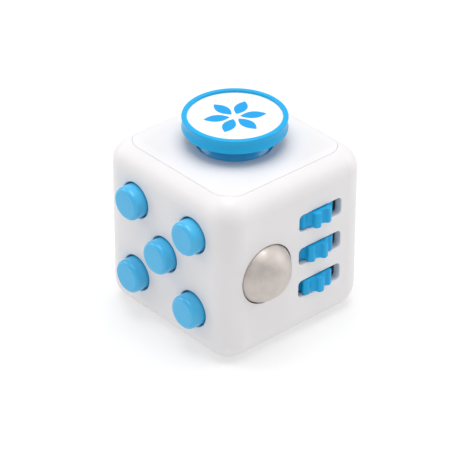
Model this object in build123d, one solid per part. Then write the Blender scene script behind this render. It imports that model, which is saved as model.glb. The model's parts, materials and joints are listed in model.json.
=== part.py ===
"""A fidget cube: a hollow plastic cube with a different finger toy on each face.

Millimetres. +Z is up, the origin is the middle of the flat underside, and each face is:
  +Z  a tilting joystick        -Z  a thumb dish in the flat face that the cube stands on
  -Y  five push buttons         +Y  a spinning dial
  +X  three rollers and a ball  -X  a rocker switch
"""

from build123d import *
import math
import os

# ---------------------------------------------------------------- driving dimensions
CUBE = 33.0
EDGE_RADIUS = 4.5
WALL = 1.5
FIT = 0.05  # running clearance of a shaft in its hole
SNUG = 0.02  # clearance of a piece that is fixed in its hole
PAST = 1.0  # how far a cutter runs past the face that it cuts

COVER_HALF = 13.75
COVER_CORNER = 3.6
COVER_THICKNESS = 1.8
COVER_LEDGE = 0.95
CLIP_GAP = 0.1
CLIP_ROOT = 0.3
CLIP_WIDTH = 3.0
CLIP_THICKNESS = 1.0
CLIP_OFFSET = 6.5
CLIP_HOOK = 0.6
CLIP_HOOK_HEIGHT = 0.9

DISH_RADIUS = 8.5
DISH_DEPTH = 1.3
DISH_RIM = 0.8

SCREW_SHAFT = 0.65
SCREW_HOLE = 0.7
SCREW_HEAD = 1.2
SCREW_HEAD_HEIGHT = 0.8
SCREW_CROSS_LENGTH = 1.3  # of the head's radius
SCREW_CROSS_WIDTH = 0.25
SCREW_CROSS_DEPTH = 0.5  # of the head's height
PLATE_SCREW_LENGTH = 2.4
POST_SCREW_LENGTH = 3.6
BASE_SCREW_LENGTH = 3.4
CAP_SCREW_LENGTH = 4.5
DIAL_SCREW_LENGTH = 2.6
POST_RADIUS = 1.5
POST_HOLE = 3.0
EYE_RADIUS = 1.8  # the round pad of a plate that a screw goes through

BUTTON_SPREAD = 7.58  # a corner button's distance from the middle one, along each edge
BUTTON_HOLE = 3.405
BUTTON_RADIUS = 3.12
BUTTON_PROUD = 2.4
BUTTON_ROUND = 0.8
BUTTON_FLANGE = 3.9
BUTTON_FLANGE_HEIGHT = 0.6
BUTTON_STEM = 0.9
STEM_GAP = 0.03  # from a stem's tip to the dome that it presses
PLATE_THICKNESS = 0.8
PLATE_DEPTH = 2.2  # from the inside of the wall to the back plate
PLATE_ARM = 2.6
PLATE_PAD = 2.5
PLATE_SCREW_OFFSET = 11.6
DOME_HEIGHT = 0.8
DOME_RADIUS = 2.1
DOME_SHEET = 0.15

ROLLER_AXIS_X = 13.38
ROLLER_AXIS_Y = 5.08
ROLLER_RADIUS = 4.5
ROLLER_TEETH = 9
ROLLER_VALLEY = 0.8
ROLLER_VALLEY_INSET = 0.1  # from the tip circle to the valley circles' centres
ROLLER_TOOTH_ROUND = 0.55
ROLLER_HEIGHT = 3.0
ROLLER_CLEARANCE = 0.3
ROLLER_HUB = 1.5
ROLLER_PITCH = 6.811
ROLLER_PHASES = {"lower": -3.0, "middle": 9.0, "upper": -16.5}
SLOT_CENTRE_Y = 5.36
SLOT_LENGTH = 9.83
SLOT_HEIGHT = 3.366
SLOT_CORNER = 0.8
AXLE_RADIUS = 0.8
SHELF_GAP = 0.1
LUG_THICKNESS = 1.5
SHELF_REACH = 1.8  # how far a shelf runs past the axle
BRACKET_NEAR = 1.9  # from the axle to the bracket's inner face
BRACKET_GAP = 0.1
BRACKET_MARGIN = 0.2
BRACKET_WALL = 1.2
BRACKET_SIDE = 0.8
BRACKET_POST_Y = 13.4
BRACKET_POST_OFFSET = 6.0

BALL_RADIUS = 5.9
BALL_Y = -7.1
BALL_PROUD = 3.55
BALL_CLEARANCE = 0.2
BALL_TRAVEL = 1.0
CUP_RADIUS = 3.8
CUP_LENGTH = 4.0
CUP_FLOOR = 1.1
CUP_CLEARANCE = 0.06
CUP_STEM = 1.0
CUP_ROOM = 1.0  # behind the cup when the ball is pressed home
BALL_DOME_RADIUS = 3.0
BALL_DOME_HEIGHT = 1.2
GUIDE_WALL = 0.9
GUIDE_FLOOR = 1.0
GUIDE_CLEARANCE = 0.08
GUIDE_LIP = 0.5
GUIDE_RELIEF = 0.35  # clearance round the pressed ball
GUIDE_POST_OFFSET = 8.2

CAP_RADIUS = 9.33
CAP_TOP = 38.46
CAP_LIP = 35.8
CAP_LOWER_ROUND = 0.6
CAP_UPPER_ROUND = 0.3
CAP_STEM_DEPTH = 0.4
LABEL_RADIUS = 8.4
LABEL_THICKNESS = 0.25
LABEL_SUNK = 0.5
PIVOT_Z = 27.9
COLLAR_RADIUS = 8.06
COLLAR_SHEET = 1.16
COLLAR_CLEARANCE = 0.25
HEAD_GAP = 0.1
STEM_RADIUS = 2.0
RING_OUTER = 4.3
RING_INNER = 2.9
RING_HEIGHT = 2.2
TRUNNION = 0.78
TRUNNION_LENGTH = 2.0
TRUNNION_ROOT = 0.4
CROSS_PIN = 0.6
BASE_RADIUS = 8.0
BASE_TOP = 24.46
BASE_THICKNESS = 1.0
BASE_POST_Y = 9.6
EAR_GAP = 0.5
EAR_THICKNESS = 1.1
EAR_HALF = 1.5
EAR_ABOVE_PIVOT = 1.3
SPRING_RADIUS = 7.4
SPRING_WIRE = 0.25
SPRING_TURNS = 3
SPRING_GAP = 0.02

SWITCH_THROW = 18.0
SWITCH_LENGTH = 12.8
SWITCH_WIDTH = 8.4
SWITCH_PROUD = BALL_PROUD
SWITCH_PIVOT_DEPTH = 2.9  # from the outer face to the pin
SWITCH_SADDLE = 1.5  # how much lower the middle of the rocker's face is than its ends
SWITCH_FOOT = 0.2  # the height of the rocker's ends above its pin
SWITCH_BELLY = (1.7, -1.4)  # the half width and the height of the rocker's underside
SWITCH_ROUND = 0.45
SWITCH_PIN = 0.8
SWITCH_SIDE_GAP = 0.2
SWITCH_END_GAP = 0.15
NOSE_RADIUS = 0.4
NOSE_REACH = 3.0
NOSE_HALF = 1.5
NOSE_ROOM = 0.5
FRAME_WALL = 1.2
FRAME_HALF = 2.4
FRAME_POST_REACH = 3.0
FRAME_POST_Y = 7.6
WING_END = 9.2
DETENT_SHEET = 0.2
DETENT_HALF = 2.3
DETENT_WIDTH = 3.2
RIDGE_HALF = 0.45
RIDGE_GRIP = 0.15  # how far the ridge's top lies past the nose's reach

DIAL_RADIUS = 7.2
DIAL_PROUD = BUTTON_PROUD
DIAL_GAP = 0.1
DIAL_SCALLOPS = 24
DIAL_SCALLOP_RADIUS = 0.5
DIAL_SCALLOP_OUT = 0.15
DIAL_BEVEL = 0.3
DIAL_DIMPLE_RADIUS = 2.2
DIAL_DIMPLE_OFFSET = 4.1
DIAL_DIMPLE_DEPTH = 0.9
DIAL_SHAFT = 1.6
DIAL_BOSS = 3.2
DIAL_BOSS_HEIGHT = 2.0
WASHER_RADIUS = 3.0
WASHER_THICKNESS = 0.7

# ---------------------------------------------------------------- worked-out dimensions
HALF = CUBE / 2
INSIDE = HALF - WALL
MID_Z = CUBE / 2
COVER_BOTTOM = CUBE - COVER_THICKNESS
FLANGE_BOTTOM = COVER_BOTTOM - WALL
OPENING_HALF = COVER_HALF - COVER_LEDGE
POST_ROOT = WALL / 3
BALL_CENTRE = (HALF + BALL_PROUD - BALL_RADIUS, BALL_Y, MID_Z)
PRESSED_BALL = (BALL_CENTRE[0] - BALL_TRAVEL, BALL_Y, MID_Z)
PIVOT = (0, 0, PIVOT_Z)
SWITCH_PIVOT = (-HALF + SWITCH_PIVOT_DEPTH, 0, MID_Z)
ROLLER_LEVELS = {"lower": MID_Z - ROLLER_PITCH, "middle": MID_Z, "upper": MID_Z + ROLLER_PITCH}
BUTTON_PLACES = {
    "top_left": (-BUTTON_SPREAD, BUTTON_SPREAD),
    "top_right": (BUTTON_SPREAD, BUTTON_SPREAD),
    "centre": (0, 0),
    "bottom_left": (-BUTTON_SPREAD, -BUTTON_SPREAD),
    "bottom_right": (BUTTON_SPREAD, -BUTTON_SPREAD),
}
CLICK_BUTTONS = ("top_left", "centre", "bottom_right")
SILENT_BUTTONS = ("top_right", "bottom_left")

BASE_UP = (Align.CENTER, Align.CENTER, Align.MIN)
TO_POS_X = Vector(1, 0, 0)
TO_NEG_X = Vector(-1, 0, 0)
TO_POS_Y = Vector(0, 1, 0)
TO_NEG_Y = Vector(0, -1, 0)
UP = Vector(0, 0, 1)
DOWN = Vector(0, 0, -1)


# ---------------------------------------------------------------- shared shapes
def frame_at(start, direction):
    """A plane at start whose normal is direction, with its x axis level."""
    level = Vector(1, 0, 0) if abs(direction.X) < 0.5 else Vector(0, 1, 0)
    return Plane(origin=start, x_dir=level, z_dir=direction)


def rod(radius, start, direction, length):
    """A round bar that begins at start and runs along direction."""
    return frame_at(start, direction) * Cylinder(radius, length, align=BASE_UP)


def block(low, high):
    """A box between two corners."""
    size = [b - a for a, b in zip(low, high)]
    return Pos(*low) * Box(*size, align=(Align.MIN, Align.MIN, Align.MIN))


def rounded_prism(half, corner, low_z, high_z):
    """A square column about Z with rounded upright edges."""
    return Pos(0, 0, low_z) * extrude(RectangleRounded(2 * half, 2 * half, corner), high_z - low_z)


def screw(seat, direction, length):
    """A pan-head screw whose head sits on seat and whose shaft runs along direction."""
    head_top = Vector(*seat) - direction * SCREW_HEAD_HEIGHT
    head = rod(SCREW_HEAD, head_top, direction, SCREW_HEAD_HEIGHT)
    shaft = rod(SCREW_SHAFT, seat, direction, length)
    arm = (SCREW_HEAD * SCREW_CROSS_LENGTH, SCREW_HEAD * SCREW_CROSS_WIDTH)
    depth = SCREW_HEAD_HEIGHT * SCREW_CROSS_DEPTH
    cross = Box(*arm, depth, align=BASE_UP) + Box(*reversed(arm), depth, align=BASE_UP)
    return head + shaft - frame_at(head_top, direction) * cross


def snap_dome(seat, direction, radius, height):
    """A thin domed disc that stands on seat and bulges along direction."""
    ball = (radius * radius + height * height) / (2 * height)
    outer = Pos(0, 0, height - ball) * Sphere(ball)
    inner = Pos(0, 0, height - ball) * Sphere(ball - DOME_SHEET)
    keep = Cylinder(radius, height, align=BASE_UP)
    return frame_at(seat, direction) * ((outer - inner) & keep)


# ---------------------------------------------------------------- housing
def outer_cube():
    """The cube's outside, with every edge rounded."""
    cube = Pos(0, 0, MID_Z) * Box(CUBE, CUBE, CUBE)
    return fillet(cube.edges(), EDGE_RADIUS)


def cavity():
    """The hollow inside the walls, up to the underside of the inward rim."""
    height = FLANGE_BOTTOM - WALL
    hollow = Pos(0, 0, WALL) * Box(2 * INSIDE, 2 * INSIDE, height, align=BASE_UP)
    upright = hollow.edges().filter_by(Axis.Z)
    lowest = hollow.edges().group_by(Axis.Z)[0]
    return fillet(upright + lowest, EDGE_RADIUS - WALL)


def button_holes():
    holes = Part()
    for across, above in BUTTON_PLACES.values():
        holes += rod(BUTTON_HOLE, (across, -INSIDE + PAST, MID_Z + above), TO_NEG_Y, WALL + 2 * PAST)
    return holes


def roller_slots():
    """Three slots, each longer than its roller is wide."""
    slots = Part()
    for level in ROLLER_LEVELS.values():
        mouth = extrude(RectangleRounded(SLOT_LENGTH, SLOT_HEIGHT, SLOT_CORNER), WALL + 2 * PAST)
        start = (INSIDE - PAST, SLOT_CENTRE_Y, level)
        slots += Plane(origin=start, x_dir=(0, 1, 0), z_dir=(1, 0, 0)) * mouth
    return slots


def switch_opening():
    """The rectangle that the rocker swings through."""
    half_angle = math.radians(SWITCH_THROW / 2)
    half_length = SWITCH_LENGTH / 2
    reach = (SWITCH_PIVOT_DEPTH + half_length * math.sin(half_angle)) / math.cos(half_angle)
    half_z = half_length * math.cos(half_angle) + reach * math.sin(half_angle) + SWITCH_END_GAP
    half_y = SWITCH_WIDTH / 2 + SWITCH_SIDE_GAP
    return block((-HALF - PAST, -half_y, MID_Z - half_z), (-INSIDE + PAST, half_y, MID_Z + half_z))


def post(wall_point, direction, length):
    """A round post that stands on a wall's inner face, with a blind screw hole in its end."""
    start = Vector(*wall_point) - direction * POST_ROOT
    end = Vector(*wall_point) + direction * length
    hole_depth = min(length, POST_HOLE)
    hole = rod(SCREW_HOLE, end - direction * hole_depth, direction, hole_depth + PAST)
    return rod(POST_RADIUS, start, direction, length + POST_ROOT) - hole


def plate_screw_places():
    return [(0, -INSIDE + PLATE_DEPTH, MID_Z + side * PLATE_SCREW_OFFSET) for side in (-1, 1)]


def bracket_screw_places():
    seat_x = ROLLER_AXIS_X - BRACKET_NEAR
    return [(seat_x, BRACKET_POST_Y, MID_Z + side * BRACKET_POST_OFFSET) for side in (-1, 1)]


def guide_screw_places():
    seat_x = BALL_CENTRE[0] - BALL_RADIUS + GUIDE_LIP
    return [(seat_x, BALL_Y, MID_Z + side * GUIDE_POST_OFFSET) for side in (-1, 1)]


def frame_screw_places():
    return [(-INSIDE + FRAME_POST_REACH, side * FRAME_POST_Y, MID_Z) for side in (-1, 1)]


def base_screw_places():
    return [(0, side * BASE_POST_Y, BASE_TOP) for side in (-1, 1)]


def make_cube_shell():
    shell = outer_cube() - cavity()
    shell -= rounded_prism(OPENING_HALF, COVER_CORNER - COVER_LEDGE, FLANGE_BOTTOM - PAST, CUBE)
    shell -= rounded_prism(COVER_HALF + FIT, COVER_CORNER + FIT, COVER_BOTTOM, CUBE + PAST)
    shell += rod(DISH_RADIUS + DISH_RIM, (0, 0, WALL / 2), UP, WALL / 2 + DISH_DEPTH)
    dish_ball = (DISH_RADIUS**2 + DISH_DEPTH**2) / (2 * DISH_DEPTH)
    shell -= Pos(0, 0, DISH_DEPTH - dish_ball) * Sphere(dish_ball)
    shell += rod(DIAL_BOSS, (0, INSIDE + POST_ROOT, MID_Z), TO_NEG_Y, DIAL_BOSS_HEIGHT + POST_ROOT)
    for x, y, z in plate_screw_places():
        shell += post((x, -INSIDE, z), TO_POS_Y, y + INSIDE)
    for x, y, z in bracket_screw_places() + guide_screw_places():
        shell += post((INSIDE, y, z), TO_NEG_X, INSIDE - x)
    for x, y, z in frame_screw_places():
        shell += post((-INSIDE, y, z), TO_POS_X, x + INSIDE)
    shell -= button_holes() + roller_slots() + switch_opening()
    shell -= Pos(*BALL_CENTRE) * Sphere(BALL_RADIUS + BALL_CLEARANCE)
    shell -= rod(DIAL_SHAFT + FIT, (0, INSIDE - DIAL_BOSS_HEIGHT - PAST, MID_Z), TO_POS_Y, HALF)
    return shell


def cover_clip(quarter, offset):
    """One snap clip on the cover's edge: a tongue with a hook that grips under the rim."""
    outer = OPENING_HALF - CLIP_GAP
    hook_top = FLANGE_BOTTOM - FIT
    hook_low = hook_top - CLIP_HOOK_HEIGHT
    side_low = offset - CLIP_WIDTH / 2
    side_high = offset + CLIP_WIDTH / 2
    low = (outer - CLIP_THICKNESS, side_low, hook_low)
    tongue = block(low, (outer, side_high, COVER_BOTTOM + CLIP_ROOT))
    hook = block(low, (outer + CLIP_HOOK, side_high, hook_top))
    return Rot(0, 0, 90 * quarter) * (tongue + hook)


def make_top_cover():
    cover = rounded_prism(COVER_HALF, COVER_CORNER, COVER_BOTTOM, CUBE) & outer_cube()
    for quarter in range(4):
        for offset in (-CLIP_OFFSET, CLIP_OFFSET):
            cover += cover_clip(quarter, offset)
    for x, y, z in base_screw_places():
        cover += post((x, y, COVER_BOTTOM), DOWN, COVER_BOTTOM - z)
    return cover - Pos(*PIVOT) * Sphere(COLLAR_RADIUS + COLLAR_CLEARANCE)


# ---------------------------------------------------------------- push buttons
def make_button(across, above):
    """A cap with a rounded front rim, a flange that stops it, and a stem that presses the dome."""
    front = HALF + BUTTON_PROUD
    flange_front = INSIDE - FIT
    flange_back = flange_front - BUTTON_FLANGE_HEIGHT
    tip = INSIDE - PLATE_DEPTH + DOME_HEIGHT + STEM_GAP
    cap = Cylinder(BUTTON_RADIUS, front - flange_back, align=BASE_UP)
    cap = fillet(cap.edges().group_by(Axis.Z)[-1], BUTTON_ROUND)
    flange = Cylinder(BUTTON_FLANGE, BUTTON_FLANGE_HEIGHT, align=BASE_UP)
    whole = Pos(0, 0, flange_back) * (cap + flange)
    whole += Pos(0, 0, tip) * Cylinder(BUTTON_STEM, flange_back - tip, align=BASE_UP)
    return frame_at((across, 0, MID_Z + above), TO_NEG_Y) * whole


def make_button_back_plate():
    """A star-shaped plate behind the buttons, held by a screw at its top and bottom."""
    star = Circle(PLATE_PAD)
    reach = BUTTON_SPREAD * math.sqrt(2)
    for across, above in BUTTON_PLACES.values():
        star += Pos(across, above) * Circle(PLATE_PAD)
    for turn in (45, 135):
        star += Rot(0, 0, turn) * Rectangle(2 * reach, PLATE_ARM)
    star += Rectangle(PLATE_ARM, 2 * PLATE_SCREW_OFFSET)
    for side in (-1, 1):
        star += Pos(0, side * PLATE_SCREW_OFFSET) * Circle(EYE_RADIUS)
    for side in (-1, 1):
        star -= Pos(0, side * PLATE_SCREW_OFFSET) * Circle(SCREW_HOLE)
    seat = Plane(origin=(0, -INSIDE + PLATE_DEPTH, MID_Z), x_dir=(-1, 0, 0), z_dir=(0, 1, 0))
    return seat * extrude(star, PLATE_THICKNESS)


def make_click_dome(across, above):
    """The spring-steel snap dome behind a clicking button."""
    return snap_dome((across, -INSIDE + PLATE_DEPTH, MID_Z + above), TO_NEG_Y, DOME_RADIUS, DOME_HEIGHT)


def make_silent_pad(across, above):
    """The soft rubber stud behind a silent button."""
    pad = Cone(DOME_RADIUS, BUTTON_STEM, DOME_HEIGHT, align=BASE_UP)
    return frame_at((across, -INSIDE + PLATE_DEPTH, MID_Z + above), TO_NEG_Y) * pad


# ---------------------------------------------------------------- rollers
def make_roller(level, phase):
    """A toothed roller with rounded teeth and valleys, and a hub that spaces it on the axle."""
    outline = Circle(ROLLER_RADIUS)
    for tooth in range(ROLLER_TEETH):
        turn = phase + (tooth + 0.5) * 360 / ROLLER_TEETH
        outline -= Rot(0, 0, turn) * Pos(ROLLER_RADIUS - ROLLER_VALLEY_INSET, 0) * Circle(ROLLER_VALLEY)
    outline = fillet(outline.vertices(), ROLLER_TOOTH_ROUND)
    hub_height = 2 * (hub_half_height() - SHELF_GAP)
    roller = Pos(0, 0, -ROLLER_HEIGHT / 2) * extrude(outline, ROLLER_HEIGHT)
    roller += Cylinder(ROLLER_HUB, hub_height)
    roller -= Cylinder(AXLE_RADIUS + FIT, hub_height + PAST)
    return Pos(ROLLER_AXIS_X, ROLLER_AXIS_Y, level) * roller


def hub_half_height():
    """Half the space between two bracket shelves."""
    return (ROLLER_PITCH - BRACKET_WALL) / 2


def bracket_ends():
    """The bracket's lowest and highest z."""
    reach = ROLLER_PITCH + hub_half_height() + LUG_THICKNESS
    return MID_Z - reach, MID_Z + reach


def make_roller_axle():
    low, high = bracket_ends()
    return rod(AXLE_RADIUS, (ROLLER_AXIS_X, ROLLER_AXIS_Y, low), UP, high - low)


def make_roller_bracket():
    """An upright wall beside the rollers, with a shelf between each two and a lug at each end."""
    low, high = bracket_ends()
    wall_y = ROLLER_AXIS_Y + ROLLER_RADIUS + ROLLER_CLEARANCE
    shelf_low_y = ROLLER_AXIS_Y - SHELF_REACH
    near_x = ROLLER_AXIS_X - BRACKET_NEAR
    far_x = INSIDE - BRACKET_GAP
    bracket = block((near_x, wall_y, low), (far_x, wall_y + BRACKET_SIDE, high))
    shelves = [(low, low + LUG_THICKNESS), (high - LUG_THICKNESS, high)]
    for side in (-1, 1):
        middle = MID_Z + side * ROLLER_PITCH / 2
        shelves.append((middle - BRACKET_WALL / 2, middle + BRACKET_WALL / 2))
    for shelf_low, shelf_high in shelves:
        bracket += block((near_x, shelf_low_y, shelf_low), (far_x, wall_y, shelf_high))
    flange_reach = BRACKET_POST_OFFSET + POST_RADIUS + BRACKET_MARGIN
    bracket += block(
        (near_x - BRACKET_WALL, wall_y, MID_Z - flange_reach),
        (near_x, BRACKET_POST_Y + POST_RADIUS, MID_Z + flange_reach),
    )
    axle_start = (ROLLER_AXIS_X, ROLLER_AXIS_Y, low - PAST)
    bracket -= rod(AXLE_RADIUS + SNUG, axle_start, UP, high - low + 2 * PAST)
    for x, y, z in bracket_screw_places():
        bracket -= rod(SCREW_HOLE, (x + PAST, y, z), TO_NEG_X, BRACKET_WALL + 2 * PAST)
    return bracket


# ---------------------------------------------------------------- ball
def cup_back_x():
    """The x of the cup's back face at rest."""
    return BALL_CENTRE[0] - BALL_RADIUS - CUP_CLEARANCE - CUP_FLOOR


def guide_floor_x():
    """The x of the guide's floor, which the dome stands on."""
    return cup_back_x() - BALL_TRAVEL - CUP_ROOM


def make_steel_ball():
    return Pos(*BALL_CENTRE) * Sphere(BALL_RADIUS)


def make_ball_cup():
    """The sliding cup that the ball turns in, with a stem that presses the click dome."""
    cup = rod(CUP_RADIUS, (cup_back_x(), BALL_Y, MID_Z), TO_POS_X, CUP_LENGTH)
    cup -= Pos(*BALL_CENTRE) * Sphere(BALL_RADIUS + CUP_CLEARANCE)
    stem_tip = guide_floor_x() + BALL_DOME_HEIGHT + STEM_GAP
    return cup + rod(CUP_STEM, (stem_tip, BALL_Y, MID_Z), TO_POS_X, cup_back_x() - stem_tip)


def make_ball_guide():
    """The fixed tube that the cup slides in, with a floor and two screwed arms."""
    bore = CUP_RADIUS + GUIDE_CLEARANCE
    floor = guide_floor_x()
    seat_x = guide_screw_places()[0][0]
    length = seat_x + GUIDE_LIP - floor + GUIDE_FLOOR
    guide = rod(bore + GUIDE_WALL, (floor - GUIDE_FLOOR, BALL_Y, MID_Z), TO_POS_X, length)
    half_arm = POST_RADIUS
    reach = GUIDE_POST_OFFSET + POST_RADIUS
    guide += block(
        (seat_x - BRACKET_WALL, BALL_Y - half_arm, MID_Z - reach),
        (seat_x, BALL_Y + half_arm, MID_Z + reach),
    )
    guide -= rod(bore, (floor, BALL_Y, MID_Z), TO_POS_X, CUBE)
    guide -= Pos(*PRESSED_BALL) * Sphere(BALL_RADIUS + GUIDE_RELIEF)
    for x, y, z in guide_screw_places():
        guide -= rod(SCREW_HOLE, (x + PAST, y, z), TO_NEG_X, BRACKET_WALL + 2 * PAST)
    return guide


def make_ball_click_dome():
    return snap_dome((guide_floor_x(), BALL_Y, MID_Z), TO_POS_X, BALL_DOME_RADIUS, BALL_DOME_HEIGHT)


# ---------------------------------------------------------------- joystick
def make_joystick_cap():
    """The round cap, with a rounded rim and a recess that the label is sunk in."""
    cap = Cylinder(CAP_RADIUS, CAP_TOP - CAP_LIP, align=BASE_UP)
    cap = fillet(cap.edges().group_by(Axis.Z)[0], CAP_LOWER_ROUND)
    cap = fillet(cap.edges().group_by(Axis.Z)[-1], CAP_UPPER_ROUND)
    cap = Pos(0, 0, CAP_LIP) * cap
    recess = LABEL_THICKNESS + LABEL_SUNK
    cap -= rod(LABEL_RADIUS + SNUG, (0, 0, CAP_TOP - recess), UP, recess + PAST)
    cap -= rod(SCREW_HEAD + HEAD_GAP, (0, 0, cap_screw_seat()), UP, CAP_TOP - cap_screw_seat() + PAST)
    cap -= rod(STEM_RADIUS + SNUG, (0, 0, CAP_LIP - PAST), UP, CAP_STEM_DEPTH + PAST)
    return cap - rod(SCREW_HOLE, (0, 0, PIVOT_Z), UP, CUBE)


def stem_top():
    return CAP_LIP + CAP_STEM_DEPTH


def cap_screw_seat():
    return CAP_TOP - LABEL_THICKNESS - LABEL_SUNK - SCREW_HEAD_HEIGHT - FIT


def make_joystick_label():
    """The thin printed disc that covers the cap's screw."""
    return Pos(0, 0, CAP_TOP - LABEL_SUNK - LABEL_THICKNESS) * Cylinder(
        LABEL_RADIUS, LABEL_THICKNESS, align=BASE_UP
    )


def make_joystick_stem():
    stem = rod(STEM_RADIUS, (0, 0, PIVOT_Z - STEM_RADIUS), UP, stem_top() - PIVOT_Z + STEM_RADIUS)
    stem -= rod(CROSS_PIN + FIT, (0, -CUBE, PIVOT_Z), TO_POS_Y, 2 * CUBE)
    hole_depth = CAP_SCREW_LENGTH
    return stem - rod(SCREW_HOLE, (0, 0, stem_top() - hole_depth), UP, hole_depth + PAST)


def make_joystick_collar():
    """The domed skirt that fills the hole in the cover at every tilt."""
    collar = Sphere(COLLAR_RADIUS) - Sphere(COLLAR_RADIUS - COLLAR_SHEET)
    collar &= Cylinder(CUBE, CUBE, align=BASE_UP)
    return Pos(*PIVOT) * collar - rod(STEM_RADIUS + SNUG, PIVOT, UP, CUBE)


def make_gimbal_ring():
    ring = Cylinder(RING_OUTER, RING_HEIGHT) - Cylinder(RING_INNER, RING_HEIGHT)
    for direction in (TO_POS_X, TO_NEG_X):
        ring += rod(TRUNNION, direction * (RING_OUTER - TRUNNION_ROOT), direction, TRUNNION_LENGTH)
    ring -= rod(CROSS_PIN + SNUG, (0, -CUBE, 0), TO_POS_Y, 2 * CUBE)
    return Pos(*PIVOT) * ring


def make_gimbal_cross_pin():
    reach = RING_OUTER - HEAD_GAP
    return rod(CROSS_PIN, (0, -reach, PIVOT_Z), TO_POS_Y, 2 * reach)


def make_joystick_base():
    """The plate that hangs from the cover's two posts, with two ears for the gimbal ring."""
    bottom = BASE_TOP - BASE_THICKNESS
    base = rod(BASE_RADIUS, (0, 0, bottom), UP, BASE_THICKNESS)
    base += block((-EYE_RADIUS, -BASE_POST_Y, bottom), (EYE_RADIUS, BASE_POST_Y, BASE_TOP))
    for x, y, _ in base_screw_places():
        base += rod(EYE_RADIUS, (x, y, bottom), UP, BASE_THICKNESS)
        base -= rod(SCREW_HOLE, (x, y, bottom - PAST), UP, BASE_THICKNESS + 2 * PAST)
    ear_top = PIVOT_Z + EAR_ABOVE_PIVOT
    ear_inner = RING_OUTER + EAR_GAP
    for side in (-1, 1):
        low_x, high_x = sorted((side * ear_inner, side * (ear_inner + EAR_THICKNESS)))
        base += block((low_x, -EAR_HALF, bottom), (high_x, EAR_HALF, ear_top))
    return base - rod(TRUNNION + FIT, (-CUBE, 0, PIVOT_Z), TO_POS_X, 2 * CUBE)


def make_joystick_spring():
    """The wide coil that stands on the base and pushes up on the collar's rim."""
    low = BASE_TOP + SPRING_WIRE + SPRING_GAP
    high = PIVOT_Z - SPRING_WIRE - SPRING_GAP
    coil = Helix((high - low) / SPRING_TURNS, high - low, SPRING_RADIUS)
    start = Plane(origin=coil @ 0, z_dir=coil % 0)
    return Pos(0, 0, low) * sweep(start * Circle(SPRING_WIRE), path=coil)


# ---------------------------------------------------------------- rocker switch
def make_rocker():
    """A saddle-faced rocker, drawn level, then tipped to one end of its throw."""
    half_angle = math.radians(SWITCH_THROW / 2)
    half_length = SWITCH_LENGTH / 2
    proud = SWITCH_PROUD + SWITCH_PIVOT_DEPTH
    end_height = (proud - half_length * math.sin(half_angle)) / math.cos(half_angle)
    belly, belly_height = SWITCH_BELLY
    right_top = (half_length, end_height)
    left_top = (-half_length, end_height)
    right_foot = (half_length, SWITCH_FOOT)
    left_foot = (-half_length, SWITCH_FOOT)
    with BuildSketch() as side_view:
        with BuildLine():
            Line(right_foot, right_top)
            ThreePointArc(right_top, (0, end_height - SWITCH_SADDLE), left_top)
            Polyline(left_top, left_foot, (-belly, belly_height), (belly, belly_height), right_foot)
        make_face()
    body = extrude(side_view.sketch, SWITCH_WIDTH / 2, both=True)
    crest = [edge for edge in body.edges() if edge.center().Y > end_height - SWITCH_SADDLE]
    body = fillet(crest, SWITCH_ROUND)
    nose = Rectangle(2 * NOSE_RADIUS, NOSE_REACH, align=(Align.CENTER, Align.MAX))
    nose += Pos(0, -NOSE_REACH) * Circle(NOSE_RADIUS)
    body += extrude(nose, NOSE_HALF, both=True)
    body -= Cylinder(SWITCH_PIN + FIT, 2 * SWITCH_WIDTH)
    # In this plane, x is up, y is out of the -X face and z runs along the pin.
    level = Plane(origin=SWITCH_PIVOT, x_dir=(0, 0, 1), z_dir=(0, -1, 0))
    return level * Rot(0, 0, SWITCH_THROW / 2) * body


def make_switch_pin():
    reach = SWITCH_WIDTH / 2 + SWITCH_SIDE_GAP + FRAME_WALL
    return rod(SWITCH_PIN, (SWITCH_PIVOT[0], -reach, MID_Z), TO_POS_Y, 2 * reach)


def frame_back_x():
    """The x of the frame's back bar, on the side towards the rocker."""
    return SWITCH_PIVOT[0] + NOSE_REACH + NOSE_RADIUS + NOSE_ROOM


def make_switch_frame():
    """Two ears that hold the rocker's pin, a bar behind it, and two screwed wings."""
    inner = SWITCH_WIDTH / 2 + SWITCH_SIDE_GAP
    outer = inner + FRAME_WALL
    back = frame_back_x()
    front = -INSIDE + FIT
    low_z = MID_Z - FRAME_HALF
    high_z = MID_Z + FRAME_HALF
    frame = block((back, -outer, low_z), (back + FRAME_WALL, outer, high_z))
    seat_x = frame_screw_places()[0][0]
    for side in (-1, 1):
        low_y, high_y = sorted((side * inner, side * outer))
        frame += block((front, low_y, low_z), (back + FRAME_WALL, high_y, high_z))
        low_y, high_y = sorted((side * outer, side * WING_END))
        wing_low = (seat_x, low_y, MID_Z - EYE_RADIUS)
        frame += block(wing_low, (seat_x + FRAME_WALL, high_y, MID_Z + EYE_RADIUS))
    frame -= rod(SWITCH_PIN + SNUG, (SWITCH_PIVOT[0], -CUBE, MID_Z), TO_POS_Y, 2 * CUBE)
    for x, y, z in frame_screw_places():
        frame -= rod(SCREW_HOLE, (x - PAST, y, z), TO_POS_X, FRAME_WALL + 2 * PAST)
    return frame


def make_switch_detent_spring():
    """A steel strip on the frame's bar, with a ridge that the rocker's nose snaps over."""
    seat = frame_back_x()
    half_width = DETENT_WIDTH / 2
    low = (seat - DETENT_SHEET, -half_width, MID_Z - DETENT_HALF)
    strip = block(low, (seat, half_width, MID_Z + DETENT_HALF))
    root_x = seat - DETENT_SHEET / 2
    top = (SWITCH_PIVOT[0] + NOSE_REACH + RIDGE_GRIP, MID_Z)
    ridge = Polygon((root_x, MID_Z - RIDGE_HALF), top, (root_x, MID_Z + RIDGE_HALF), align=None)
    return strip + extrude(Plane.XZ * ridge, half_width, both=True)


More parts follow.
